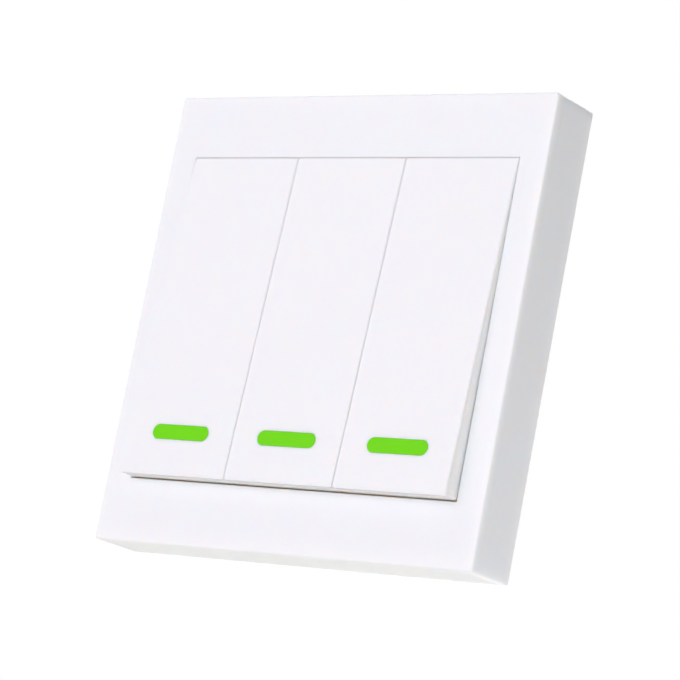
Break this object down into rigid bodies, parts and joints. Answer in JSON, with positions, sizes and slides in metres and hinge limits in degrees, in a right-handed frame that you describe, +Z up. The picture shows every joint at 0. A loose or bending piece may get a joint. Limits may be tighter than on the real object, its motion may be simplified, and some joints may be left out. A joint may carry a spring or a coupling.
{
  "type": "wireless remote wall switch",
  "caption": "Square surface-mounted radio wall switch: a flat frame, long sprung rockers hinged at the top and a green marker on each, with its board, battery and rear cover inside.",
  "frame": {"origin": "centre of the face that lies on the wall", "axes": "+Z up, +X to the right as one faces the panel, +Y into the wall"},
  "size_m": [0.086, 0.0149, 0.086],
  "materials": {
    "white_gloss": "white moulded plastic, fine satin gloss",
    "white_matte": "white moulded plastic, fine spark-eroded texture",
    "green_insert": "bright green plastic, smooth",
    "board_green": "green solder resist on glass-fibre laminate",
    "black_plastic": "black moulded plastic",
    "black_epoxy": "black moulding compound",
    "tinned_steel": "tinned steel",
    "can_steel": "nickel-plated can",
    "spring_bronze": "nickel-washed spring bronze",
    "copper_strip": "bright copper strip",
    "cell_sleeve": "printed film sleeve, plain colour",
    "resistor_body": "glazed black film on white ceramic",
    "capacitor_body": "tan ceramic",
    "screw_steel": "zinc-plated steel"
  },
  "bodies": {
    "housing": {"front_frame": "white_gloss", "carrier_plate": "white_matte", "rear_cover": "white_matte", "circuit_board": "board_green", "switch_legs": "tinned_steel", "battery_cell": "cell_sleeve", "battery_contact_positive": "spring_bronze", "battery_contact_negative": "spring_bronze", "encoder_chip": "black_epoxy", "rf_transistor": "black_epoxy", "saw_resonator": "can_steel", "antenna_strip": "copper_strip", "chip_resistors": "resistor_body", "chip_capacitors": "capacitor_body", "carrier_screws": "screw_steel", "board_screws": "screw_steel", "switch_base_left": "black_plastic", "switch_cover_left": "tinned_steel", "switch_base_middle": "black_plastic", "switch_cover_middle": "tinned_steel", "switch_base_right": "black_plastic", "switch_cover_right": "tinned_steel"},
    "rocker_left_body": {"rocker_left": "white_gloss", "marker_left": "green_insert"},
    "plunger_left_body": {"switch_plunger_left": "black_plastic"},
    "rocker_middle_body": {"rocker_middle": "white_gloss", "marker_middle": "green_insert"},
    "plunger_middle_body": {"switch_plunger_middle": "black_plastic"},
    "rocker_right_body": {"rocker_right": "white_gloss", "marker_right": "green_insert"},
    "plunger_right_body": {"switch_plunger_right": "black_plastic"}
  },
  "joints": [
    {"name": "rocker_left_press", "type": "hinge", "parent": "housing", "child": "rocker_left_body", "pos_m": [-0.02482, -0.0089, 0.02795], "axis": [1, 0, 0], "range_deg": [0, 0.954], "stiffness_Nm_per_rad": 0.8, "springref_deg": -0.46},
    {"name": "plunger_left_travel", "type": "slide", "parent": "housing", "child": "plunger_left_body", "axis": [0, 1, 0], "range_m": [0, 0.0003]},
    {"name": "rocker_middle_press", "type": "hinge", "parent": "housing", "child": "rocker_middle_body", "pos_m": [0, -0.0089, 0.02795], "axis": [1, 0, 0], "range_deg": [0, 0.954], "stiffness_Nm_per_rad": 0.8, "springref_deg": -0.46},
    {"name": "plunger_middle_travel", "type": "slide", "parent": "housing", "child": "plunger_middle_body", "axis": [0, 1, 0], "range_m": [0, 0.0003]},
    {"name": "rocker_right_press", "type": "hinge", "parent": "housing", "child": "rocker_right_body", "pos_m": [0.02482, -0.0089, 0.02795], "axis": [1, 0, 0], "range_deg": [0, 0.954], "stiffness_Nm_per_rad": 0.8, "springref_deg": -0.46},
    {"name": "plunger_right_travel", "type": "slide", "parent": "housing", "child": "plunger_right_body", "axis": [0, 1, 0], "range_m": [0, 0.0003]}
  ],
  "couplings": [
    {"joint": "plunger_left_travel", "follows": "rocker_left_press", "m_per_rad": 0.018},
    {"joint": "plunger_middle_travel", "follows": "rocker_middle_press", "m_per_rad": 0.018},
    {"joint": "plunger_right_travel", "follows": "rocker_right_press", "m_per_rad": 0.018}
  ]
}
